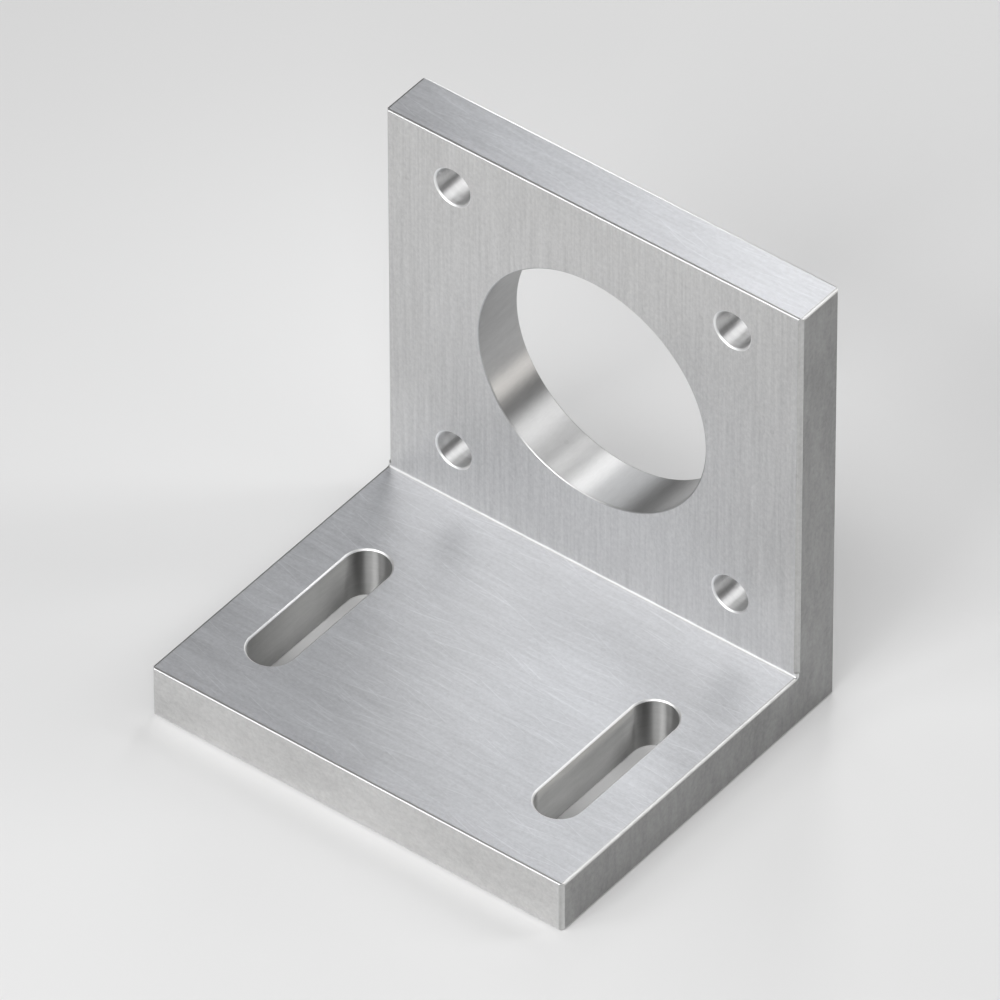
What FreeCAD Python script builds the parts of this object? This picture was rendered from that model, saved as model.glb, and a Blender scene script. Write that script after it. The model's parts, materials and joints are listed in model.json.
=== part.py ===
# Motor mounting bracket: one angle of machined aluminium, in millimetres.
# The foot bolts down through two slots, and a motor bolts to the upright with its raised
# register in the large bore and its shaft through it.
# X runs across the bracket, Y from the foot's front edge to the back of the upright, and Z up.
# The origin is on the underside of the foot, in the middle of the bracket's width and depth.
import FreeCAD, Part
import math
import os

# Motor face
MOTOR_REGISTER_DIAMETER = 38.1
MOTOR_REGISTER_CLEARANCE = 0.3
MOTOR_BOLT_SPACING = 47.14
MOTOR_BOLT_DIAMETER = 5.0
MOTOR_BOLT_CLEARANCE = 0.8

# Upright: walls left round the centres of the motor's bolt holes
UPRIGHT_THICKNESS = 8.5
BOLT_TO_SIDE = 11.43
BOLT_TO_TOP = 7.93
BOLT_TO_FOOT = 8.93

# Foot: its bolts, how far they can slide, and the walls left round the slots' centrelines
FOOT_THICKNESS = 8.5
FOOT_BOLT_DIAMETER = 6.0
FOOT_BOLT_CLEARANCE = 1.0
SLOT_TRAVEL = 20.5
SLOT_TO_SIDE = 10.5
SLOT_TO_FRONT = 13.0
SLOT_TO_UPRIGHT = 18.0

# Edges
INNER_FILLET = 0.5
OUTER_CHAMFER = 0.3
BORE_CHAMFER = 0.4
BOLT_HOLE_CHAMFER = 0.4
SLOT_CHAMFER = 0.4

# Worked out from the sizes above
BORE_RADIUS = (MOTOR_REGISTER_DIAMETER + MOTOR_REGISTER_CLEARANCE) / 2
BOLT_HOLE_RADIUS = (MOTOR_BOLT_DIAMETER + MOTOR_BOLT_CLEARANCE) / 2
SLOT_RADIUS = (FOOT_BOLT_DIAMETER + FOOT_BOLT_CLEARANCE) / 2
MOTOR_AXIS_HEIGHT = FOOT_THICKNESS + BOLT_TO_FOOT + MOTOR_BOLT_SPACING / 2
WIDTH = MOTOR_BOLT_SPACING + 2 * BOLT_TO_SIDE
HEIGHT = MOTOR_AXIS_HEIGHT + MOTOR_BOLT_SPACING / 2 + BOLT_TO_TOP
DEPTH = SLOT_TO_FRONT + SLOT_TRAVEL + SLOT_TO_UPRIGHT + UPRIGHT_THICKNESS
FRONT = -DEPTH / 2
BACK = DEPTH / 2
UPRIGHT_FRONT = BACK - UPRIGHT_THICKNESS
SIDE = WIDTH / 2

ACROSS = FreeCAD.Vector(1, 0, 0)
ALONG = FreeCAD.Vector(0, 1, 0)
UP = FreeCAD.Vector(0, 0, 1)


def angle_section():
    """The bracket's L section at its left side, rounded in the inner corner."""
    def at(y, z):
        return FreeCAD.Vector(-SIDE, y, z)

    fillet_y = UPRIGHT_FRONT - INNER_FILLET
    fillet_z = FOOT_THICKNESS + INNER_FILLET
    reach = INNER_FILLET * math.sqrt(0.5)
    fillet_start = at(UPRIGHT_FRONT, fillet_z)
    fillet_middle = at(fillet_y + reach, fillet_z - reach)
    fillet_end = at(fillet_y, FOOT_THICKNESS)
    outside = Part.makePolygon([
        fillet_end,
        at(FRONT, FOOT_THICKNESS),
        at(FRONT, 0),
        at(BACK, 0),
        at(BACK, HEIGHT),
        at(UPRIGHT_FRONT, HEIGHT),
        fillet_start,
    ])
    fillet = Part.Arc(fillet_start, fillet_middle, fillet_end).toShape()
    return Part.Face(Part.Wire(outside.Edges + [fillet]))


def is_sharp(blank, edge):
    """True for an edge that needs breaking, so not where the inner round runs out into a flat."""
    faces = blank.ancestorsOfType(edge, Part.Face)
    round_faces = [face for face in faces if isinstance(face.Surface, Part.Cylinder)]
    lengthways = isinstance(edge.Curve, Part.Line)
    return not (round_faces and lengthways)


def angle_blank():
    """The L section run across the whole width, with every outer edge broken."""
    blank = angle_section().extrude(ACROSS * WIDTH)
    sharp_edges = [edge for edge in blank.Edges if is_sharp(blank, edge)]
    return blank.makeChamfer(OUTER_CHAMFER, sharp_edges)


def cutter_section(radius, thickness, chamfer, mirrored):
    """Section of a hole cutter about Z, for a plate from z = 0 to its thickness.

    Both rims flare at 45 degrees and run on past the plate's faces by the chamfer.
    A mirrored section has both halves, and the other only the half where x is positive.
    """
    flare = radius + 2 * chamfer
    half = [
        (flare, -chamfer),
        (radius, chamfer),
        (radius, thickness - chamfer),
        (flare, thickness + chamfer),
    ]
    other_half = [(-x, z) for x, z in reversed(half)]
    axis = [(0, thickness + chamfer), (0, -chamfer)]
    outline = half + (other_half if mirrored else axis)
    corners = [FreeCAD.Vector(x, 0, z) for x, z in outline]
    return Part.Face(Part.makePolygon(corners + corners[:1]))


def round_cutter(radius, thickness, chamfer):
    """Cutter for a round hole with both rims chamfered."""
    section = cutter_section(radius, thickness, chamfer, mirrored=False)
    return section.revolve(FreeCAD.Vector(), UP, 360)


def slot_cutter(radius, travel, thickness, chamfer):
    """Cutter for a round-ended slot along Y with both rims chamfered, centred on the origin."""
    half_section = cutter_section(radius, thickness, chamfer, mirrored=False)
    back_end = half_section.revolve(FreeCAD.Vector(), UP, 180)
    front_end = half_section.revolve(FreeCAD.Vector(), UP, -180)
    straight = cutter_section(radius, thickness, chamfer, mirrored=True).extrude(ALONG * travel)
    straight.translate(ALONG * (-travel / 2))
    back_end.translate(ALONG * (travel / 2))
    front_end.translate(ALONG * (-travel / 2))
    return straight.multiFuse([back_end, front_end])


def through_upright(cutter, x, z):
    """The cutter turned to run back through the upright, on the axis at x and z."""
    turn = FreeCAD.Rotation(ACROSS, -90)
    cutter.Placement = FreeCAD.Placement(FreeCAD.Vector(x, UPRIGHT_FRONT, z), turn)
    return cutter


def motor_cutters():
    """The register's bore and the square of bolt holes round it."""
    bore = round_cutter(BORE_RADIUS, UPRIGHT_THICKNESS, BORE_CHAMFER)
    cutters = [through_upright(bore, 0, MOTOR_AXIS_HEIGHT)]
    for side in (-1, 1):
        for level in (-1, 1):
            hole = round_cutter(BOLT_HOLE_RADIUS, UPRIGHT_THICKNESS, BOLT_HOLE_CHAMFER)
            x = side * MOTOR_BOLT_SPACING / 2
            z = MOTOR_AXIS_HEIGHT + level * MOTOR_BOLT_SPACING / 2
            cutters.append(through_upright(hole, x, z))
    return cutters


def foot_cutters():
    """The two adjusting slots, alike on both sides."""
    cutters = []
    for side in (-1, 1):
        slot = slot_cutter(SLOT_RADIUS, SLOT_TRAVEL, FOOT_THICKNESS, SLOT_CHAMFER)
        x = side * (SIDE - SLOT_TO_SIDE)
        y = FRONT + SLOT_TO_FRONT + SLOT_TRAVEL / 2
        slot.translate(FreeCAD.Vector(x, y, 0))
        cutters.append(slot)
    return cutters


def bracket():
    """The finished bracket."""
    return angle_blank().cut(motor_cutters() + foot_cutters())


os.makedirs("parts", exist_ok=True)
bracket().exportStep("parts/bracket.step")
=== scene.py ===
# Looks of the motor mounting bracket: its surfaces, the studio and the camera.
# The bracket is one piece of brushed aluminium. It is drawn here a second time, in the place of
# its CAD solid and from the same sizes, with finer rounds and rims that catch the light, and
# with a finish for each way in which its surfaces were machined. Several finishes carry a tone
# that is painted light or shade: darker sides, side edges, corners, bore, bore rim and slots,
# lighter rims, fold and bolt holes, and a cool tint on the flat faces.
import json
import logging
import math
from dataclasses import dataclass
from enum import Enum, IntEnum

import bmesh
import bpy
from mathutils import Matrix, Vector

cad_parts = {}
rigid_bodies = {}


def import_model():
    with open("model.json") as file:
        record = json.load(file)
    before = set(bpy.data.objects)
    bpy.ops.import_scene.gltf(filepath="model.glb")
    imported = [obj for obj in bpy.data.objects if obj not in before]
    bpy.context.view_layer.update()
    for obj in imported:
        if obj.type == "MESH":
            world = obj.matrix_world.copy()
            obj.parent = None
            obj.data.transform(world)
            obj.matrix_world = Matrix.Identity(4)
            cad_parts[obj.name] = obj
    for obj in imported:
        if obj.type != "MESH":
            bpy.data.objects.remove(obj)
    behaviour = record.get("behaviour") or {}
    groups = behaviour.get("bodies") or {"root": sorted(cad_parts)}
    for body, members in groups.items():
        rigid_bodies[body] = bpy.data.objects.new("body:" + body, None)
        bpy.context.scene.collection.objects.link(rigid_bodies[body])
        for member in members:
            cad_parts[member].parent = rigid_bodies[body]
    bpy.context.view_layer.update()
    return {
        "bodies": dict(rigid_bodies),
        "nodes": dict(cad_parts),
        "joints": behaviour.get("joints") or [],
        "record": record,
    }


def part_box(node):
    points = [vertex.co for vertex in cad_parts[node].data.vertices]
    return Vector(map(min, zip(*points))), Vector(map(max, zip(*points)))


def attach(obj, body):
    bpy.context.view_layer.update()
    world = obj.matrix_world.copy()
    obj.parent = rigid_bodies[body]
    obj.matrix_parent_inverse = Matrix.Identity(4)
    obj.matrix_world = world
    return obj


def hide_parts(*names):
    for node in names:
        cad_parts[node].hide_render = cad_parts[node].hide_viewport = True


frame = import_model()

NODE = "bracket"
BODY = "root"

# The face attribute that holds a face's zone, and the map that follows the tool's path
ZONE = "zone"
GRAIN_MAP = "grain"

MM = 0.001
PLATE = 8.5 * MM
QUARTER_TURN = 0.25
HALF_DIAGONAL = math.sqrt(0.5)

# The Compare node's two inputs for whole numbers, whose names its other inputs share
WHOLE_A = 2
WHOLE_B = 3

# The cutting leaves an empty material slot ahead of the finishes
EMPTY_SLOT = 0

log = logging.getLogger("bracket")


class Zone(IntEnum):
    """The kinds of surface on the bracket, by the way each was machined."""

    UPRIGHT = 0
    FOOT = 1
    SIDE = 2
    EDGE = 3
    BORE = 4
    BOLT_HOLE = 5
    SLOT = 6
    RIM = 7
    LIP = 8
    BORE_RIM = 9
    CORNER = 10
    FOLD = 11
    SIDE_EDGE = 12


class Kind(Enum):
    """The socket types that the node trees use."""

    NUMBER = "NodeSocketFloat"
    COUNT = "NodeSocketInt"
    VECTOR = "NodeSocketVector"
    GEOMETRY = "NodeSocketGeometry"


@dataclass
class Sheet:
    """A node tree under construction."""

    tree: bpy.types.NodeTree

    def socket(self, name: str, kind: Kind, output: bool = False, value: object = None) -> None:
        """Adds a named socket to the tree's own interface.

        Args:
            name: The socket's name.
            kind: Its type.
            output: True for an output, False for an input.
            value: The input's default, where it has one.
        """
        side = "OUTPUT" if output else "INPUT"
        item = self.tree.interface.new_socket(name, in_out=side, socket_type=kind.value)
        if value is not None:
            item.default_value = value

    def add(self, node_type: str, inputs: dict | None = None, **settings: object) -> bpy.types.Node:
        """Adds a node and fills its inputs.

        Args:
            node_type: The node's type name.
            inputs: Values or output sockets, by the name or the number of the input.
            **settings: Properties of the node itself, set before its inputs.

        Returns:
            The new node.
        """
        node = self.tree.nodes.new(node_type)
        for name, value in settings.items():
            setattr(node, name, value)
        for key, value in (inputs or {}).items():
            socket = node.inputs[key]
            if isinstance(value, bpy.types.NodeSocket):
                self.tree.links.new(value, socket)
            else:
                socket.default_value = value
        return node

    def math(self, operation: str, *values: object) -> bpy.types.NodeSocket:
        """Works out one number.

        Args:
            operation: The Math node's operation.
            *values: Its inputs, in order.

        Returns:
            The socket that holds the result.
        """
        inputs = dict(enumerate(values))
        return self.add("ShaderNodeMath", inputs, operation=operation).outputs[0]

    def vector_math(self, operation: str, *values: object) -> bpy.types.NodeSocket:
        """Works out one vector.

        Args:
            operation: The Vector Math node's operation.
            *values: Its inputs, in order.

        Returns:
            The socket that holds the result.
        """
        inputs = dict(enumerate(values))
        return self.add("ShaderNodeVectorMath", inputs, operation=operation).outputs[0]


@dataclass(frozen=True)
class Effects:
    """The shader node groups that several finishes share."""

    streaks: bpy.types.NodeTree
    clouds: bpy.types.NodeTree
    nicks: bpy.types.NodeTree
    scratches: bpy.types.NodeTree

    @staticmethod
    def build() -> "Effects":
        """Builds the groups once.

        Returns:
            The groups.
        """
        return Effects(
            Effects.streak_group(),
            Effects.cloud_group(),
            Effects.nick_group(),
            Effects.scratch_group(),
        )

    @staticmethod
    def streak_group() -> bpy.types.NodeTree:
        """Builds the fine parallel lines that brushing, milling and turning leave.

        Returns:
            A group that takes coordinates and how often the lines change along each axis, and
            gives a value about 0.5 for the tone and a height for the grooves.
        """
        sheet = Sheet(bpy.data.node_groups.new("machined_streaks", "ShaderNodeTree"))
        sheet.socket("Coordinates", Kind.VECTOR)
        sheet.socket("Changes Per Metre", Kind.VECTOR)
        sheet.socket("Dashes Per Metre", Kind.VECTOR)
        sheet.socket("Streak", Kind.NUMBER, output=True)
        sheet.socket("Groove", Kind.NUMBER, output=True)
        given = sheet.add("NodeGroupInput").outputs
        drawn = sheet.vector_math("MULTIPLY", given["Coordinates"], given["Changes Per Metre"])
        long_lines = sheet.add(
            "ShaderNodeTexNoise",
            {"Vector": drawn, "Scale": 1.0, "Detail": 2.0, "Roughness": 0.6},
        )
        short = sheet.vector_math("MULTIPLY", given["Coordinates"], given["Dashes Per Metre"])
        dashes = sheet.add(
            "ShaderNodeTexNoise",
            {"Vector": short, "Scale": 1.0, "Detail": 3.0, "Roughness": 0.7},
        )
        line_share = 0.45
        dash_share = 0.55
        weighed = sheet.math("MULTIPLY", dashes.outputs[0], dash_share)
        streak = sheet.math("MULTIPLY_ADD", long_lines.outputs[0], line_share, weighed)
        sheet.add("NodeGroupOutput", {"Streak": streak, "Groove": long_lines.outputs[0]})
        return sheet.tree

    @staticmethod
    def cloud_group() -> bpy.types.NodeTree:
        """Builds the soft, uneven clouding of a wiped metal surface.

        Returns:
            A group that takes coordinates and how often the clouds change along each axis, and
            gives a value about 0.5.
        """
        sheet = Sheet(bpy.data.node_groups.new("soft_clouds", "ShaderNodeTree"))
        sheet.socket("Coordinates", Kind.VECTOR)
        sheet.socket("Changes Per Metre", Kind.VECTOR)
        sheet.socket("Cloud", Kind.NUMBER, output=True)
        given = sheet.add("NodeGroupInput").outputs
        drawn = sheet.vector_math("MULTIPLY", given["Coordinates"], given["Changes Per Metre"])
        noise = sheet.add(
            "ShaderNodeTexNoise",
            {"Vector": drawn, "Scale": 1.0, "Detail": 2.0, "Roughness": 0.5, "Distortion": 0.4},
        )
        sheet.add("NodeGroupOutput", {"Cloud": noise.outputs[0]})
        return sheet.tree

    @staticmethod
    def nick_group() -> bpy.types.NodeTree:
        """Builds sparse small marks from handling.

        Returns:
            A group that takes coordinates and the number of marks per metre, and gives a mask
            that is 1 in a mark and 0 elsewhere.
        """
        sheet = Sheet(bpy.data.node_groups.new("handling_nicks", "ShaderNodeTree"))
        sheet.socket("Coordinates", Kind.VECTOR)
        sheet.socket("Marks Per Metre", Kind.NUMBER)
        sheet.socket("Mark", Kind.NUMBER, output=True)
        given = sheet.add("NodeGroupInput").outputs
        cells = sheet.add(
            "ShaderNodeTexVoronoi",
            {"Vector": given["Coordinates"], "Scale": given["Marks Per Metre"]},
        )
        mark_size = 0.1
        bare_share = 0.75
        near = sheet.math("LESS_THAN", cells.outputs["Distance"], mark_size)
        chance = sheet.add("ShaderNodeSeparateColor", {"Color": cells.outputs["Color"]})
        chosen = sheet.math("GREATER_THAN", chance.outputs[0], bare_share)
        sheet.add("NodeGroupOutput", {"Mark": sheet.math("MULTIPLY", near, chosen)})
        return sheet.tree

    @staticmethod
    def scratch_group() -> bpy.types.NodeTree:
        """Builds the sparse hair scratches that cross the brushing at slight angles.

        Returns:
            A group that takes places on the grain map, and gives a mask of the scratches.
        """
        sheet = Sheet(bpy.data.node_groups.new("hair_scratches", "ShaderNodeTree"))
        sheet.socket("Grain Place", Kind.VECTOR)
        sheet.socket("Scratch", Kind.NUMBER, output=True)
        given = sheet.add("NodeGroupInput").outputs
        found = 0.0
        changes_per_metre = (90.0, 3600.0, 1.0)
        angles_and_shifts = ((0.1, 0.3), (-0.16, 0.7), (0.3, 1.1))
        for angle, shift in angles_and_shifts:
            turned = sheet.add(
                "ShaderNodeVectorRotate",
                {"Vector": given["Grain Place"], "Angle": angle},
                rotation_type="Z_AXIS",
            )
            shifts = (shift, shift, shift)
            drawn = sheet.vector_math(
                "MULTIPLY_ADD", turned.outputs[0], changes_per_metre, shifts
            )
            lines = sheet.add(
                "ShaderNodeTexNoise",
                {"Vector": drawn, "Scale": 1.0, "Detail": 1.0, "Roughness": 0.5},
            )
            mask = sheet.add(
                "ShaderNodeMapRange",
                {"Value": lines.outputs[0], "From Min": 0.66, "From Max": 0.74},
            )
            found = sheet.math("MAXIMUM", mask.outputs[0], found)
        sheet.add("NodeGroupOutput", {"Scratch": found})
        return sheet.tree


@dataclass(frozen=True)
class Finish:
    """One way of finishing the aluminium. On several finishes the tone is painted light or shade,
    not the metal's own colour.

    The tone and the roughness swing about their own value, with the streaks, the dashes and
    the clouds, whose changes are counted per metre along X, Y and Z. The streaks change slowly
    along the tool's path and quickly across it, so the path is the axis with the smallest
    number in streak_changes.
    """

    name: str
    zone: Zone
    tone: tuple[float, float, float]
    tone_swing: float
    roughness: float
    roughness_swing: float
    streak_changes: tuple[float, float, float]
    dash_changes: tuple[float, float, float]
    cloud_changes: tuple[float, float, float]
    anisotropy: float = 0.0
    cloud_share: float = 0.3
    groove_depth: float = 0.01 * MM
    groove_strength: float = 0.2
    scratch_gain: float = 0.0
    nick_gain: float = -0.06
    nicks_per_metre: float = 260.0

    def material(self, effects: Effects) -> bpy.types.Material:
        """Builds the finish as a material.

        Args:
            effects: The shared node groups.

        Returns:
            The material, named as the finish is.
        """
        material = bpy.data.materials.new(self.name)
        material.use_nodes = True
        sheet = Sheet(material.node_tree)
        sheet.tree.nodes.clear()
        place = sheet.add("ShaderNodeTexCoord").outputs["Object"]
        streaks = sheet.add(
            "ShaderNodeGroup",
            {
                "Coordinates": place,
                "Changes Per Metre": self.streak_changes,
                "Dashes Per Metre": self.dash_changes,
            },
            node_tree=effects.streaks,
        )
        clouds = sheet.add(
            "ShaderNodeGroup",
            {"Coordinates": place, "Changes Per Metre": self.cloud_changes},
            node_tree=effects.clouds,
        )
        nicks = sheet.add(
            "ShaderNodeGroup",
            {"Coordinates": place, "Marks Per Metre": self.nicks_per_metre},
            node_tree=effects.nicks,
        )
        grain_place = sheet.add("ShaderNodeUVMap", uv_map=GRAIN_MAP)
        scratches = sheet.add(
            "ShaderNodeGroup",
            {"Grain Place": grain_place.outputs[0]},
            node_tree=effects.scratches,
        )
        weighed = sheet.math("MULTIPLY", clouds.outputs["Cloud"], self.cloud_share)
        streak_share = 1.0 - self.cloud_share
        mixed = sheet.math("MULTIPLY_ADD", streaks.outputs["Streak"], streak_share, weighed)
        offset = sheet.math("SUBTRACT", mixed, 0.5)
        tone = self.tone_node(sheet, offset, nicks.outputs["Mark"], scratches.outputs["Scratch"])
        roughness = sheet.math("MULTIPLY_ADD", offset, self.roughness_swing, self.roughness)
        bump = sheet.add(
            "ShaderNodeBump",
            {
                "Strength": self.groove_strength,
                "Distance": self.groove_depth,
                "Height": streaks.outputs["Groove"],
            },
        )
        tangent = sheet.add("ShaderNodeTangent", direction_type="UV_MAP", uv_map=GRAIN_MAP)
        shader = sheet.add(
            "ShaderNodeBsdfPrincipled",
            {
                "Base Color": tone,
                "Metallic": 1.0,
                "Roughness": roughness,
                "Anisotropic": self.anisotropy,
                "Anisotropic Rotation": QUARTER_TURN,
                "Tangent": tangent.outputs[0],
                "Normal": bump.outputs[0],
            },
        )
        sheet.add("ShaderNodeOutputMaterial", {"Surface": shader.outputs[0]})
        return material

    def tone_node(
        self,
        sheet: Sheet,
        offset: bpy.types.NodeSocket,
        mark: bpy.types.NodeSocket,
        scratch: bpy.types.NodeSocket,
    ) -> bpy.types.NodeSocket:
        """Lightens and darkens the finish's colour.

        Args:
            sheet: The material's tree.
            offset: A value about 0 that says how far, before the finish's own swing.
            mark: The mask of the handling marks, which are a little darker.
            scratch: The mask of the hair scratches, which are a little lighter.

        Returns:
            The socket that holds the colour.
        """
        swing = sheet.math("MULTIPLY_ADD", offset, self.tone_swing, 1.0)
        marked = sheet.math("MULTIPLY_ADD", mark, self.nick_gain, swing)
        gain = sheet.math("MULTIPLY_ADD", scratch, self.scratch_gain, marked)
        unused = (0.0, 0.0, 0.0)
        return sheet.vector_math("SCALE", self.tone, unused, unused, gain)


NEUTRAL = (0.76, 0.757, 0.752)
# A cool tint that is painted reflection: the flat horizontal faces are tinted as if they mirrored
# bluish light from above.
COOL_PAINTED_REFLECTION = (0.74, 0.75, 0.775)

FINISHES = (
    Finish(
        name="upright_brushed",
        zone=Zone.UPRIGHT,
        tone=NEUTRAL,
        tone_swing=0.8,
        roughness=0.5,
        roughness_swing=0.2,
        anisotropy=0.85,
        streak_changes=(1900.0, 1900.0, 60.0),
        dash_changes=(1900.0, 1900.0, 1300.0),
        cloud_changes=(160.0, 160.0, 60.0),
        cloud_share=0.15,
        scratch_gain=0.02,
    ),
    Finish(
        name="foot_brushed",
        zone=Zone.FOOT,
        tone=COOL_PAINTED_REFLECTION,
        tone_swing=0.72,
        roughness=0.52,
        roughness_swing=0.2,
        anisotropy=0.85,
        streak_changes=(110.0, 1700.0, 1700.0),
        dash_changes=(1500.0, 1900.0, 1900.0),
        cloud_changes=(60.0, 170.0, 170.0),
        cloud_share=0.22,
        scratch_gain=0.1,
    ),
    # Painted shade: the sides' tone is far darker than the rest of the same aluminium, so that they
    # look as dark as a shaded side.
    Finish(
        name="side_milled_painted_shade",
        zone=Zone.SIDE,
        tone=(0.36, 0.36, 0.358),
        tone_swing=1.3,
        roughness=0.5,
        roughness_swing=0.2,
        anisotropy=0.8,
        streak_changes=(900.0, 900.0, 250.0),
        dash_changes=(1600.0, 1600.0, 1300.0),
        cloud_changes=(120.0, 120.0, 60.0),
    ),
    Finish(
        name="edge_broken",
        zone=Zone.EDGE,
        tone=(0.74, 0.74, 0.74),
        tone_swing=0.15,
        roughness=0.34,
        roughness_swing=0.1,
        streak_changes=(500.0, 500.0, 500.0),
        dash_changes=(800.0, 800.0, 800.0),
        cloud_changes=(100.0, 100.0, 100.0),
        groove_depth=0.005 * MM,
        groove_strength=0.1,
    ),
    # Painted shade: the edges along the sides are darker than the other broken edges, which dims
    # their reflection.
    Finish(
        name="side_edge_broken_painted_shade",
        zone=Zone.SIDE_EDGE,
        tone=(0.5, 0.5, 0.5),
        tone_swing=0.5,
        roughness=0.34,
        roughness_swing=0.1,
        streak_changes=(500.0, 500.0, 500.0),
        dash_changes=(800.0, 800.0, 800.0),
        cloud_changes=(100.0, 100.0, 100.0),
        groove_depth=0.005 * MM,
        groove_strength=0.1,
    ),
    # Painted highlight: the fold is lighter than the faces beside it, so that it shows as a bright
    # line.
    Finish(
        name="fold_milled_painted_highlight",
        zone=Zone.FOLD,
        tone=(0.88, 0.88, 0.88),
        tone_swing=0.3,
        roughness=0.5,
        roughness_swing=0.2,
        streak_changes=(500.0, 500.0, 500.0),
        dash_changes=(800.0, 800.0, 800.0),
        cloud_changes=(100.0, 100.0, 100.0),
        groove_depth=0.005 * MM,
        groove_strength=0.1,
    ),
    # Painted highlight: the rims are lighter than the faces, so that their glints show bright.
    Finish(
        name="rim_deburred_painted_highlight",
        zone=Zone.RIM,
        tone=(0.93, 0.93, 0.93),
        tone_swing=0.3,
        roughness=0.5,
        roughness_swing=0.2,
        streak_changes=(500.0, 500.0, 500.0),
        dash_changes=(1200.0, 1200.0, 1200.0),
        cloud_changes=(150.0, 150.0, 150.0),
        groove_depth=0.005 * MM,
        groove_strength=0.1,
    ),
    # Painted shade: the bore's rim is darker than the other rims, which dims its glint.
    Finish(
        name="bore_rim_deburred_painted_shade",
        zone=Zone.BORE_RIM,
        tone=(0.55, 0.55, 0.55),
        tone_swing=0.2,
        roughness=0.34,
        roughness_swing=0.1,
        streak_changes=(500.0, 500.0, 500.0),
        dash_changes=(1200.0, 1200.0, 1200.0),
        cloud_changes=(150.0, 150.0, 150.0),
        groove_depth=0.005 * MM,
        groove_strength=0.1,
    ),
    Finish(
        name="lip_milled",
        zone=Zone.LIP,
        tone=NEUTRAL,
        tone_swing=0.9,
        roughness=0.5,
        roughness_swing=0.2,
        anisotropy=0.85,
        streak_changes=(500.0, 500.0, 900.0),
        dash_changes=(1700.0, 1700.0, 1700.0),
        cloud_changes=(120.0, 120.0, 160.0),
        groove_strength=0.15,
    ),
    # Painted shade: the corner chamfers are darker than the faces beside them.
    Finish(
        name="corner_milled_painted_shade",
        zone=Zone.CORNER,
        tone=(0.56, 0.56, 0.555),
        tone_swing=0.9,
        roughness=0.4,
        roughness_swing=0.2,
        anisotropy=0.6,
        streak_changes=(3000.0, 3000.0, 60.0),
        dash_changes=(2000.0, 2000.0, 1300.0),
        cloud_changes=(160.0, 160.0, 60.0),
        cloud_share=0.15,
        groove_strength=0.15,
    ),
    # Painted shade: the bore's wall is darker than the faces, as shade inside the hole.
    Finish(
        name="bore_turned_painted_shade",
        zone=Zone.BORE,
        tone=(0.5, 0.5, 0.5),
        tone_swing=0.6,
        roughness=0.38,
        roughness_swing=0.15,
        anisotropy=0.8,
        streak_changes=(900.0, 90.0, 900.0),
        dash_changes=(1500.0, 500.0, 1500.0),
        cloud_changes=(200.0, 60.0, 200.0),
        groove_depth=0.008 * MM,
    ),
    # Painted light: the bolt holes' walls are lighter than the faces, so that they look lit.
    Finish(
        name="bolt_hole_drilled_painted_light",
        zone=Zone.BOLT_HOLE,
        tone=(0.85, 0.85, 0.85),
        tone_swing=0.5,
        roughness=0.5,
        roughness_swing=0.1,
        anisotropy=1.0,
        streak_changes=(150.0, 2600.0, 150.0),
        dash_changes=(400.0, 1800.0, 400.0),
        cloud_changes=(250.0, 500.0, 250.0),
        groove_depth=0.008 * MM,
    ),
    # Painted shade: the slots' walls are darker than the faces, as shade inside the slots.
    Finish(
        name="slot_milled_painted_shade",
        zone=Zone.SLOT,
        tone=(0.44, 0.44, 0.435),
        tone_swing=0.6,
        roughness=0.46,
        roughness_swing=0.1,
        anisotropy=1.0,
        streak_changes=(90.0, 90.0, 1500.0),
        dash_changes=(500.0, 500.0, 1800.0),
        cloud_changes=(150.0, 150.0, 60.0),
        groove_depth=0.008 * MM,
    ),
)


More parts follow.
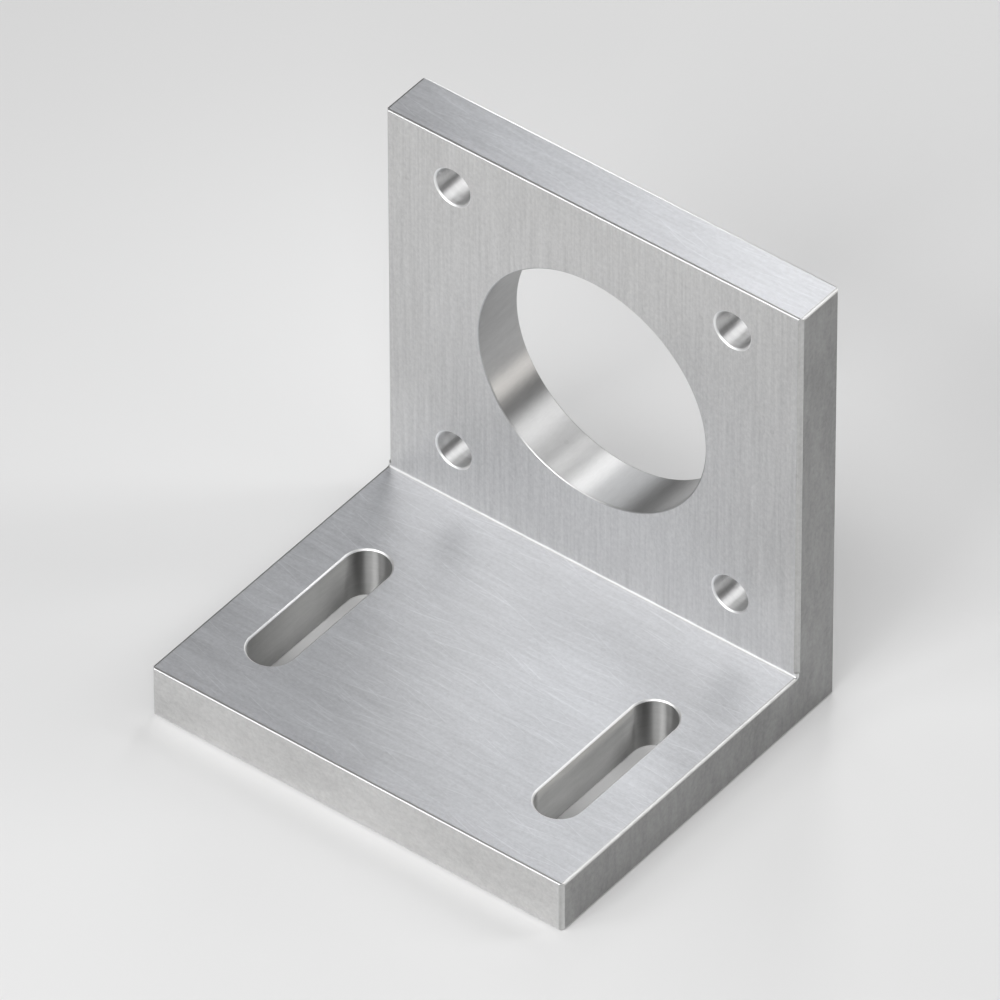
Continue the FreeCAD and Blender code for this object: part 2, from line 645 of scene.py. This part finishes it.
@dataclass(frozen=True)
class Perforations:
    """The holes, the slots and the corner chamfers, and the geometry tree that cuts them."""

    bore_radius: float
    bolt_hole_radius: float
    bolt_spacing: float
    axis_height: float
    upright_middle: float
    slot_radius: float
    slot_travel: float
    slot_spacing: float
    slot_middle: float
    outside: tuple[float, float, float]
    upright_front: float
    plate: float = PLATE
    rim: float = 0.22 * MM
    bore_rim: float = 0.13 * MM
    bore_sides: int = 288
    bolt_hole_sides: int = 96
    slot_sides: int = 128
    corner_leg: float = 0.6 * MM
    corner_cutter: float = 2.0 * MM

    def inputs(self) -> dict[str, object]:
        """Lists the tree's named inputs.

        Returns:
            The value of each input, by its name.
        """
        return {
            "Bore Radius": self.bore_radius,
            "Bore Sides": self.bore_sides,
            "Bolt Hole Radius": self.bolt_hole_radius,
            "Bolt Hole Sides": self.bolt_hole_sides,
            "Bolt Spacing": self.bolt_spacing,
            "Slot Radius": self.slot_radius,
            "Slot Sides": self.slot_sides,
            "Slot Travel": self.slot_travel,
            "Slot Spacing": self.slot_spacing,
            "Plate": self.plate,
            "Rim": self.rim,
            "Bore Rim": self.bore_rim,
            "Motor Axis": (0.0, self.upright_middle, self.axis_height),
            "Slots Middle": (0.0, self.slot_middle, self.plate / 2),
            "Corner Leg": self.corner_leg,
            "Corner Cutter": self.corner_cutter,
            "Outside": self.outside,
            "Upright Front": (0.0, self.upright_front, self.plate + self.corner_leg),
        }

    @staticmethod
    def cutter_group() -> bpy.types.NodeTree:
        """Builds the group that makes the cutter for one hole or slot.

        The cutter stands on Z with its middle at the origin. It is a cylinder with four rings
        of points, pulled apart along Y by the slot's travel, whose end rings flare out past the
        plate's faces at 45 degrees.

        Returns:
            The group.
        """
        sheet = Sheet(bpy.data.node_groups.new("hole_cutter", "GeometryNodeTree"))
        for name in ("Radius", "Travel", "Plate", "Rim"):
            sheet.socket(name, Kind.NUMBER)
        sheet.socket("Sides", Kind.COUNT)
        sheet.socket("Wall Zone", Kind.COUNT)
        sheet.socket("Rim Zone", Kind.COUNT)
        sheet.socket("Cutter", Kind.GEOMETRY, output=True)
        given = sheet.add("NodeGroupInput").outputs
        sections = 3
        ring_gap = 1.0
        slanted = 0.3
        cylinder = sheet.add(
            "GeometryNodeMeshCylinder",
            {
                "Vertices": given["Sides"],
                "Side Segments": sections,
                "Radius": 1.0,
                "Depth": sections * ring_gap,
            },
        )
        half_step = sheet.math("DIVIDE", math.pi, given["Sides"])
        place = sheet.add("GeometryNodeInputPosition").outputs[0]
        turned = sheet.add(
            "ShaderNodeVectorRotate",
            {"Vector": place, "Angle": half_step},
            rotation_type="Z_AXIS",
        )
        part = sheet.add("ShaderNodeSeparateXYZ", {0: turned.outputs[0]}).outputs
        is_end = sheet.math("GREATER_THAN", sheet.math("ABSOLUTE", part[2]), ring_gap)
        double_rim = sheet.math("MULTIPLY", given["Rim"], 2.0)
        radius = sheet.math("MULTIPLY_ADD", is_end, double_rim, given["Radius"])
        half_travel = sheet.math("DIVIDE", given["Travel"], 2.0)
        pulled = sheet.math("MULTIPLY", sheet.math("SIGN", part[1]), half_travel)
        half_plate = sheet.math("DIVIDE", given["Plate"], 2.0)
        inner_height = sheet.math("SUBTRACT", half_plate, given["Rim"])
        height = sheet.math("MULTIPLY_ADD", is_end, double_rim, inner_height)
        ring = sheet.add(
            "ShaderNodeCombineXYZ",
            {
                "X": sheet.math("MULTIPLY", part[0], radius),
                "Y": sheet.math("MULTIPLY_ADD", part[1], radius, pulled),
                "Z": sheet.math("MULTIPLY", sheet.math("SIGN", part[2]), height),
            },
        )
        shaped = sheet.add(
            "GeometryNodeSetPosition",
            {"Geometry": cylinder.outputs["Mesh"], "Position": ring.outputs[0]},
        )
        normal = sheet.add("GeometryNodeInputNormal").outputs[0]
        facing = sheet.add("ShaderNodeSeparateXYZ", {0: normal}).outputs
        is_rim = sheet.math("GREATER_THAN", sheet.math("ABSOLUTE", facing[2]), slanted)
        zone_step = sheet.math("SUBTRACT", given["Rim Zone"], given["Wall Zone"])
        zone = sheet.math("MULTIPLY_ADD", is_rim, zone_step, given["Wall Zone"])
        marked = sheet.add(
            "GeometryNodeStoreNamedAttribute",
            {"Geometry": shaped.outputs[0], "Name": ZONE, "Value": zone},
            data_type="INT",
            domain="FACE",
        )
        sheet.add("NodeGroupOutput", {"Cutter": marked.outputs[0]})
        return sheet.tree

    @staticmethod
    def corner_cutters(sheet: Sheet, given: bpy.types.NodeOutputs) -> list[bpy.types.NodeSocket]:
        """Adds the cutters for the flat chamfers down the bracket's upright corners.

        Each is a tall square bar that stands on one edge, so that one side lies in the chamfer.
        Four bars pass the whole height, at the foot's front and the upright's back, and two
        start just above the foot, at the upright's front.

        Args:
            sheet: The tree that they are added to.
            given: The tree's own inputs.

        Returns:
            The sockets that hold the bars.
        """
        size = sheet.add("ShaderNodeSeparateXYZ", {0: given["Outside"]}).outputs
        half_bar = sheet.math("MULTIPLY", given["Corner Cutter"], 0.5)
        cut_depth = sheet.math("MULTIPLY", given["Corner Leg"], HALF_DIAGONAL)
        out = sheet.math("MULTIPLY", sheet.math("SUBTRACT", half_bar, cut_depth), HALF_DIAGONAL)
        width = sheet.math("MULTIPLY_ADD", out, 2.0, size[0])
        depth = sheet.math("MULTIPLY_ADD", out, 2.0, size[1])
        bar_heights = 4.0
        tall = sheet.math("MULTIPLY", size[2], bar_heights)
        bar_size = sheet.add(
            "ShaderNodeCombineXYZ",
            {"X": given["Corner Cutter"], "Y": given["Corner Cutter"], "Z": tall},
        )
        bar = sheet.add("GeometryNodeMeshCube", {"Size": bar_size.outputs[0]})
        marked = sheet.add(
            "GeometryNodeStoreNamedAttribute",
            {"Geometry": bar.outputs[0], "Name": ZONE, "Value": int(Zone.CORNER)},
            data_type="INT",
            domain="FACE",
        )
        outer = sheet.add(
            "GeometryNodeMeshGrid",
            {"Size X": width, "Size Y": depth, "Vertices X": 2, "Vertices Y": 2},
        )
        half_tall = sheet.math("MULTIPLY", tall, 0.5)
        start = sheet.add(
            "ShaderNodeCombineXYZ",
            {
                "X": sheet.math("MULTIPLY", width, -0.5),
                "Y": sheet.math("MULTIPLY", out, -1.0),
                "Z": half_tall,
            },
        )
        first = sheet.vector_math("ADD", start.outputs[0], given["Upright Front"])
        step = sheet.add("ShaderNodeCombineXYZ", {"X": width}).outputs[0]
        inner = sheet.add(
            "GeometryNodeMeshLine",
            {"Count": 2, "Start Location": first, "Offset": step},
        )
        bars = []
        for corners in (outer, inner):
            placed = sheet.add(
                "GeometryNodeInstanceOnPoints",
                {
                    "Points": corners.outputs[0],
                    "Instance": marked.outputs[0],
                    "Rotation": (0.0, 0.0, math.pi / 4),
                },
            )
            bars.append(placed.outputs[0])
        return bars

    def tree(self, materials: dict[Zone, bpy.types.Material]) -> bpy.types.NodeTree:
        """Builds the tree that cuts every hole and slot and gives each zone its material.

        Args:
            materials: The material of each zone.

        Returns:
            The tree, with a named input for every size.
        """
        cutter = self.cutter_group()
        sheet = Sheet(bpy.data.node_groups.new("pierced_angle", "GeometryNodeTree"))
        sheet.socket("Geometry", Kind.GEOMETRY)
        kinds = {int: Kind.COUNT, float: Kind.NUMBER, tuple: Kind.VECTOR}
        for name, value in self.inputs().items():
            sheet.socket(name, kinds[type(value)], value=value)
        sheet.socket("Geometry", Kind.GEOMETRY, output=True)
        given = sheet.add("NodeGroupInput").outputs

        def cut(name: str, zone: Zone, travel: object) -> bpy.types.NodeSocket:
            """Adds the cutter for one kind of hole.

            Args:
                name: The name that the hole's inputs start with.
                zone: The zone of its wall.
                travel: How far the cutter is pulled apart.

            Returns:
                The socket that holds the cutter.
            """
            is_bore = zone == Zone.BORE
            inputs = {
                "Radius": given[name + " Radius"],
                "Travel": travel,
                "Plate": given["Plate"],
                "Rim": given["Bore Rim" if is_bore else "Rim"],
                "Sides": given[name + " Sides"],
                "Wall Zone": int(zone),
                "Rim Zone": int(Zone.BORE_RIM if is_bore else Zone.RIM),
            }
            return sheet.add("GeometryNodeGroup", inputs, node_tree=cutter).outputs[0]

        square = sheet.add(
            "GeometryNodeMeshGrid",
            {
                "Size X": given["Bolt Spacing"],
                "Size Y": given["Bolt Spacing"],
                "Vertices X": 2,
                "Vertices Y": 2,
            },
        )
        bolt_holes = sheet.add(
            "GeometryNodeInstanceOnPoints",
            {"Points": square.outputs[0], "Instance": cut("Bolt Hole", Zone.BOLT_HOLE, 0.0)},
        )
        motor_side = sheet.add("GeometryNodeJoinGeometry")
        sheet.tree.links.new(cut("Bore", Zone.BORE, 0.0), motor_side.inputs[0])
        sheet.tree.links.new(bolt_holes.outputs[0], motor_side.inputs[0])
        upright_holes = sheet.add(
            "GeometryNodeTransform",
            {
                "Geometry": motor_side.outputs[0],
                "Translation": given["Motor Axis"],
                "Rotation": (math.pi / 2, 0.0, 0.0),
            },
        )
        spacing = sheet.add("ShaderNodeCombineXYZ", {"X": given["Slot Spacing"]}).outputs[0]
        first = sheet.vector_math("MULTIPLY_ADD", spacing, (-0.5, 0.0, 0.0), given["Slots Middle"])
        pair = sheet.add(
            "GeometryNodeMeshLine",
            {"Count": 2, "Start Location": first, "Offset": spacing},
        )
        slots = sheet.add(
            "GeometryNodeInstanceOnPoints",
            {"Points": pair.outputs[0], "Instance": cut("Slot", Zone.SLOT, given["Slot Travel"])},
        )
        cutters = sheet.add("GeometryNodeJoinGeometry")
        sheet.tree.links.new(upright_holes.outputs[0], cutters.inputs[0])
        sheet.tree.links.new(slots.outputs[0], cutters.inputs[0])
        for bars in self.corner_cutters(sheet, given):
            sheet.tree.links.new(bars, cutters.inputs[0])
        whole_cutters = sheet.add("GeometryNodeRealizeInstances", {0: cutters.outputs[0]})
        pierced = sheet.add(
            "GeometryNodeMeshBoolean",
            {"Mesh 1": given["Geometry"], "Mesh 2": whole_cutters.outputs[0]},
            operation="DIFFERENCE",
            solver="EXACT",
        )
        result = sheet.add("GeometryNodeRealizeInstances", {0: pierced.outputs[0]}).outputs[0]
        zones = sheet.add("GeometryNodeInputNamedAttribute", {"Name": ZONE}, data_type="INT")
        for zone in Zone:
            is_zone = sheet.add(
                "FunctionNodeCompare",
                {WHOLE_A: zones.outputs[0], WHOLE_B: int(zone)},
                data_type="INT",
                operation="EQUAL",
            )
            result = sheet.add(
                "GeometryNodeSetMaterial",
                {"Geometry": result, "Selection": is_zone.outputs[0], "Material": materials[zone]},
            ).outputs[0]
        sheet.add("NodeGroupOutput", {"Geometry": result})
        return sheet.tree


@dataclass(frozen=True)
class Bracket:
    """The bracket: an L of thick plate with broken edges, pierced for its motor and its bolts."""

    low: Vector
    high: Vector
    perforations: Perforations
    thickness: float = PLATE
    broken_edge: float = 0.4 * MM
    broken_edge_steps: int = 6
    inner_round: float = 0.25 * MM
    inner_round_steps: int = 8
    rubbed_edge: float = 0.05 * MM
    rubbed_steps: int = 2

    @staticmethod
    def from_frame(packed: dict) -> "Bracket":
        """Takes the bracket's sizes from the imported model.


        Returns:
            The bracket, before it is built.
        """
        mounts = {mount["name"]: mount for mount in packed["record"]["mounts"]}
        register = mounts["motor_register"]
        bolts = mounts["motor_bolts"]
        slot = mounts["right_slot"]
        slot_radius = slot["dims"]["hole_r_mm"] * MM
        low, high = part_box(NODE)
        perforations = Perforations(
            bore_radius=register["dims"]["r_mm"] * MM,
            bolt_hole_radius=bolts["dims"]["hole_r_mm"] * MM,
            bolt_spacing=bolts["dims"]["spacing_x_mm"] * MM,
            axis_height=register["pos_m"][2],
            upright_middle=register["pos_m"][1],
            slot_radius=slot_radius,
            slot_travel=slot["dims"]["slot_length_mm"] * MM - 2 * slot_radius,
            slot_spacing=2 * slot["pos_m"][0],
            slot_middle=slot["pos_m"][1],
            outside=tuple(high - low),
            upright_front=high.y - PLATE,
        )
        return Bracket(low, high, perforations)

    def section(self) -> list[Vector]:
        """Works out the L section at the bracket's left side, with the inner corner's round.

        Returns:
            The section's corners, in order.
        """
        front_of_upright = self.high.y - self.thickness
        top_of_foot = self.low.z + self.thickness
        centre_y = front_of_upright - self.inner_round
        centre_z = top_of_foot + self.inner_round
        corners = [
            (self.low.y, top_of_foot),
            (self.low.y, self.low.z),
            (self.high.y, self.low.z),
            (self.high.y, self.high.z),
            (front_of_upright, self.high.z),
        ]
        for step in range(self.inner_round_steps + 1):
            angle = -math.pi / 2 * step / self.inner_round_steps
            y = centre_y + self.inner_round * math.cos(angle)
            z = centre_z + self.inner_round * math.sin(angle)
            corners.append((y, z))
        return [Vector((self.low.x, y, z)) for y, z in corners]

    def blank(self) -> bpy.types.Mesh:
        """Runs the section across the width and breaks every outer edge.

        Returns:
            The mesh, with the zone of each face as an attribute.
        """
        shape = bmesh.new()
        outline = [shape.verts.new(corner) for corner in self.section()]
        left_side = shape.faces.new(outline)
        extruded = bmesh.ops.extrude_face_region(shape, geom=[left_side], use_keep_orig=True)
        moved = [item for item in extruded["geom"] if isinstance(item, bmesh.types.BMVert)]
        bmesh.ops.translate(shape, verts=moved, vec=(self.high.x - self.low.x, 0.0, 0.0))
        bmesh.ops.recalc_face_normals(shape, faces=shape.faces)
        corner_angle = math.radians(60)
        sharp = [edge for edge in shape.edges if edge.calc_face_angle() > corner_angle]
        bmesh.ops.bevel(
            shape,
            geom=sharp,
            offset=self.broken_edge,
            segments=self.broken_edge_steps,
            profile=0.5,
            affect="EDGES",
        )
        shape.normal_update()
        zones = shape.faces.layers.int.new(ZONE)
        for face in shape.faces:
            face[zones] = self.flat_zone(face.normal, face.calc_center_median())
        mesh = bpy.data.meshes.new("angle_blank")
        shape.to_mesh(mesh)
        shape.free()
        return mesh

    def flat_zone(self, normal: Vector, middle: Vector) -> Zone:
        """The zone of a face of the blank.

        Args:
            normal: The face's outward direction.
            middle: The face's centre.

        Returns:
            The zone.
        """
        square_on = 0.999
        along = max(range(3), key=lambda axis: abs(normal[axis]))
        if abs(normal[along]) < square_on:
            return self.rounded_zone(normal, middle)
        if along == 1 and middle.y < 0.0:
            return Zone.LIP
        return (Zone.SIDE, Zone.UPRIGHT, Zone.FOOT)[along]

    def rounded_zone(self, normal: Vector, middle: Vector) -> Zone:
        """The zone of a face on a round: the inner fold, an edge along a side, or another edge.

        Args:
            normal: The face's outward direction.
            middle: The face's centre.

        Returns:
            The zone.
        """
        slant = 0.1
        across_fold = abs(normal.x) < slant and normal.y < -slant and normal.z > slant
        inside_angle = middle.y > self.low.y + self.thickness
        below_top = middle.z < self.high.z - self.thickness
        if across_fold and inside_angle and below_top:
            return Zone.FOLD
        if abs(normal.y) < slant and abs(normal.x) > slant and abs(normal.z) > slant:
            return Zone.SIDE_EDGE
        return Zone.EDGE

    def build(self, effects: Effects) -> bpy.types.Object:
        """Builds the whole bracket and dresses it.

        Args:
            effects: The shared node groups.

        Returns:
            The bracket's object, at the origin.
        """
        materials = {finish.zone: finish.material(effects) for finish in FINISHES}
        piece = bpy.data.objects.new("machined_bracket", self.blank())
        bpy.context.scene.collection.objects.link(piece)
        modifier = piece.modifiers.new("pierce", "NODES")
        tree = self.perforations.tree(materials)
        modifier.node_group = tree
        values = self.perforations.inputs()
        for item in tree.interface.items_tree:
            if item.in_out == "INPUT" and item.name in values:
                modifier[item.identifier] = values[item.name]
        evaluated = piece.evaluated_get(bpy.context.evaluated_depsgraph_get())
        pierced = bpy.data.meshes.new_from_object(evaluated)
        pierced.materials.pop(index=EMPTY_SLOT)
        piece.modifiers.remove(modifier)
        blank = piece.data
        piece.data = pierced
        bpy.data.meshes.remove(blank)
        pierced.name = piece.name
        self.rub_edges(pierced)
        self.map_grain(pierced)
        return piece

    def rub_edges(self, mesh: bpy.types.Mesh) -> None:
        """Takes the last sharpness off both borders of every rim, as tumbling does.

        Args:
            mesh: The pierced mesh, which is changed.
        """
        same_place = 1e-7
        border_angle = math.radians(20)
        facet_angle = math.radians(20)
        shape = bmesh.new()
        shape.from_mesh(mesh)
        bmesh.ops.remove_doubles(shape, verts=shape.verts, dist=same_place)
        zones = shape.faces.layers.int[ZONE]
        borders = []
        for edge in shape.edges:
            at_rim = any(face[zones] in (Zone.RIM, Zone.BORE_RIM) for face in edge.link_faces)
            if at_rim and edge.calc_face_angle() > border_angle:
                borders.append(edge)
        before = set(shape.faces)
        made = bmesh.ops.bevel(
            shape,
            geom=borders,
            offset=self.rubbed_edge,
            segments=self.rubbed_steps,
            profile=0.5,
            affect="EDGES",
            clamp_overlap=True,
        )
        slots = {finish.zone: mesh.materials.find(finish.name) for finish in FINISHES}
        for face in made["faces"]:
            if face not in before:
                near = {neighbour[zones] for edge in face.edges for neighbour in edge.link_faces}
                rims = near & {Zone.RIM, Zone.BORE_RIM}
                zone = Zone(max(rims)) if rims else Zone.EDGE
                face[zones] = zone
                face.material_index = slots[zone]
        for face in shape.faces:
            face.smooth = True
        for edge in shape.edges:
            kinds = {face[zones] for face in edge.link_faces}
            edge.smooth = len(kinds) == 1 and edge.calc_face_angle() < facet_angle
        shape.to_mesh(mesh)
        shape.free()

    def map_grain(self, mesh: bpy.types.Mesh) -> None:
        """Gives the mesh a map whose first axis runs along the tool's path on every face.

        Args:
            mesh: The bracket's mesh, which is changed.
        """
        shape = bmesh.new()
        shape.from_mesh(mesh)
        zones = shape.faces.layers.int[ZONE]
        grain = shape.loops.layers.uv.new(GRAIN_MAP)
        for face in shape.faces:
            zone = Zone(face[zones])
            centre = self.hole_centre(zone, face.calc_center_median())
            for loop in face.loops:
                loop[grain].uv = self.grain_place(zone, face, loop.vert.co, centre)
        shape.to_mesh(mesh)
        shape.free()

    def hole_centre(self, zone: Zone, place: Vector) -> Vector:
        """The centre, in the upright's front view, of the hole that a place belongs to.

        Args:
            zone: The place's zone.
            place: The place.

        Returns:
            The bolt hole's centre, or else the bore's.
        """
        holes = self.perforations
        centre = Vector((0.0, 0.0, holes.axis_height))
        if zone == Zone.BOLT_HOLE:
            half = holes.bolt_spacing / 2
            centre.x = math.copysign(half, place.x)
            centre.z += math.copysign(half, place.z - holes.axis_height)
        return centre

    @staticmethod
    def grain_place(
        zone: Zone, face: bmesh.types.BMFace, place: Vector, centre: Vector
    ) -> tuple[float, float]:
        """Where a corner of a face lies on the grain map.

        Args:
            zone: The face's zone.
            face: The face.
            place: The corner.
            centre: The centre of the hole that the face belongs to.

        Returns:
            The distance along the tool's path and across it, in metres.
        """
        if zone in (Zone.BORE, Zone.BOLT_HOLE):
            middle = face.calc_center_median() - centre
            spoke = place - centre
            start = math.atan2(middle.z, middle.x)
            turn = math.atan2(spoke.z, spoke.x) - start
            turn = (turn + math.pi) % (2 * math.pi) - math.pi
            return ((start + turn) * math.hypot(spoke.x, spoke.z), place.y)
        if zone == Zone.SLOT:
            level = Vector((-face.normal.y, face.normal.x, 0.0))
            return (place.dot(level), place.z)
        if zone == Zone.CORNER:
            across = Vector((-face.normal.y, face.normal.x, 0.0))
            return (place.z, place.dot(across))
        if zone == Zone.FOOT:
            return (place.x, place.y)
        if zone in (Zone.UPRIGHT, Zone.LIP):
            return (place.z, place.x)
        return (place.z, place.x + place.y)


@dataclass(frozen=True)
class Lamp:
    """A rectangular soft lamp that faces the bracket.

    Its brightness is that of its face, where 1 shows as white.
    """

    name: str
    place: tuple[float, float, float]
    aim: tuple[float, float, float]
    width: float
    height: float
    brightness: float
    colour: tuple[float, float, float] = (1.0, 1.0, 1.0)

    def build(self) -> bpy.types.Object:
        """Adds the lamp to the scene.

        Returns:
            The lamp's object.
        """
        data = bpy.data.lights.new(self.name, "AREA")
        data.shape = "RECTANGLE"
        data.size = self.width
        data.size_y = self.height
        data.energy = math.pi * self.brightness * self.width * self.height
        data.color = self.colour
        lamp = bpy.data.objects.new(self.name, data)
        bpy.context.scene.collection.objects.link(lamp)
        direction = Vector(self.aim) - Vector(self.place)
        lamp.location = self.place
        lamp.rotation_euler = direction.to_track_quat("-Z", "Y").to_euler()
        lamp.visible_camera = False
        return lamp


# What the lamps face
MIDDLE = (0.0, 0.0, 0.035)
TOP_EDGE = (0.03, 0.026, 0.0725)
BORE_FLOOR = (0.0, 0.026, 0.022)

# What tints them
WARM = (1.0, 0.965, 0.92)
FRESH = (0.965, 0.98, 1.0)

# In front, the boxes light the upright, the foot and the broken edges. Behind, the strip lights
# the upright's top, two small boxes light the bore, and a row of boxes that rises from the right
# lights the right side's edges.
LAMPS = (
    Lamp("high_front_box", (0.0, -0.64, 0.515), MIDDLE, 0.35, 0.35, 8.0),
    Lamp("front_right_box", (0.306, -0.53, 0.549), MIDDLE, 0.3, 0.3, 5.6),
    Lamp("edge_box", (-0.3665, -0.5353, 0.5031), MIDDLE, 0.25, 0.25, 4.4),
    Lamp("back_strip", (-0.057, 0.155, 0.22), TOP_EDGE, 0.04, 0.2, 3.8),
    Lamp("bore_box", (-0.041, 0.079, 0.082), BORE_FLOOR, 0.03, 0.03, 1.45, FRESH),
    Lamp("bore_left_box", (-0.0576, 0.0787, 0.067), BORE_FLOOR, 0.03, 0.03, 1.5, FRESH),
    Lamp("right_low_box", (0.647, 0.468, 0.08), MIDDLE, 0.2, 0.2, 4.45, WARM),
    Lamp("right_box", (0.451, 0.468, 0.502), MIDDLE, 0.12, 0.3, 7.2),
    Lamp("right_high_box", (0.284, 0.468, 0.618), MIDDLE, 0.15, 0.3, 2.4),
    Lamp("back_high_box", (0.068, 0.468, 0.680), MIDDLE, 0.15, 0.3, 3.2),
)


@dataclass(frozen=True)
class Studio:
    """A plain pale floor under soft lamps, in dim even surroundings."""

    floor_size: float = 40.0
    floor_height: float = -0.05 * MM
    floor_tone: tuple[float, float, float] = (0.8, 0.8, 0.8)
    floor_roughness: float = 0.9
    surroundings: tuple[float, float, float] = (0.2, 0.2, 0.2)
    lamps: tuple[Lamp, ...] = LAMPS

    def build(self) -> None:
        """Adds the floor, the surroundings and the lamps."""
        self.floor()
        self.world()
        for lamp in self.lamps:
            lamp.build()
            log.info("lamp %s", lamp.name)

    def floor(self) -> bpy.types.Object:
        """Adds the floor, a hair under the bracket so that the two never share a plane.

        Returns:
            The floor's object.
        """
        half = self.floor_size / 2
        mesh = bpy.data.meshes.new("floor")
        flat = [(-half, -half), (half, -half), (half, half), (-half, half)]
        corners = [(x, y, self.floor_height) for x, y in flat]
        mesh.from_pydata(corners, [], [(0, 1, 2, 3)])
        floor = bpy.data.objects.new("floor", mesh)
        bpy.context.scene.collection.objects.link(floor)
        material = bpy.data.materials.new("pale_floor")
        material.use_nodes = True
        shader = material.node_tree.nodes["Principled BSDF"]
        shader.inputs["Base Color"].default_value = (*self.floor_tone, 1.0)
        shader.inputs["Roughness"].default_value = self.floor_roughness
        mesh.materials.append(material)
        return floor

    def world(self) -> None:
        """Gives the scene even surroundings."""
        world = bpy.data.worlds.new("surroundings")
        world.use_nodes = True
        background = world.node_tree.nodes["Background"]
        background.inputs["Color"].default_value = (*self.surroundings, 1.0)
        background.inputs["Strength"].default_value = 1.0
        bpy.context.scene.world = world


@dataclass(frozen=True)
class Camera:
    """The photograph's point of view, in degrees and metres."""

    azimuth: float = 38.077
    elevation: float = 42.026
    roll: float = -0.1686
    middle: tuple[float, float, float] = (0.0, 0.005, 0.028)
    shift_right: float = -0.0021363
    shift_up: float = 0.0038151
    distance: float = 2.386586
    focal_length: float = 641.594
    sensor: float = 36.0

    def axes(self) -> tuple[Vector, Vector, Vector]:
        """Works out how the camera is turned.

        Returns:
            The directions to the right, up and back towards the viewer.
        """
        turn = math.radians(self.azimuth)
        lift = math.radians(self.elevation)
        level = math.cos(lift)
        back = Vector((math.sin(turn) * level, -math.cos(turn) * level, math.sin(lift)))
        right = Vector((math.cos(turn), math.sin(turn), 0.0))
        up = back.cross(right)
        lean = Matrix.Rotation(math.radians(self.roll), 3, back)
        return lean @ right, lean @ up, back

    def build(self) -> bpy.types.Object:
        """Adds the camera and makes it the scene's own.

        Returns:
            The camera's object.
        """
        right, up, back = self.axes()
        data = bpy.data.cameras.new("camera")
        data.sensor_width = self.sensor
        data.lens = self.focal_length
        data.clip_start = 0.1
        data.clip_end = 100.0
        camera = bpy.data.objects.new("camera", data)
        bpy.context.scene.collection.objects.link(camera)
        aim = Vector(self.middle) + right * self.shift_right + up * self.shift_up
        turn = Matrix((right, up, back)).transposed().to_4x4()
        camera.matrix_world = Matrix.Translation(aim + back * self.distance) @ turn
        bpy.context.scene.camera = camera
        return camera


def main() -> None:
    """Builds the bracket, the studio and the camera."""
    logging.basicConfig(level=logging.INFO, format="%(name)s: %(message)s")
    bpy.context.scene.view_settings.view_transform = "Standard"
    effects = Effects.build()
    bracket = Bracket.from_frame(frame)
    piece = bracket.build(effects)
    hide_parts(NODE)
    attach(piece, BODY)
    log.info("piece %s, %d faces", piece.name, len(piece.data.polygons))
    Studio().build()
    Camera().build()
    log.info("camera in place")


if __name__ == "__main__":
    main()
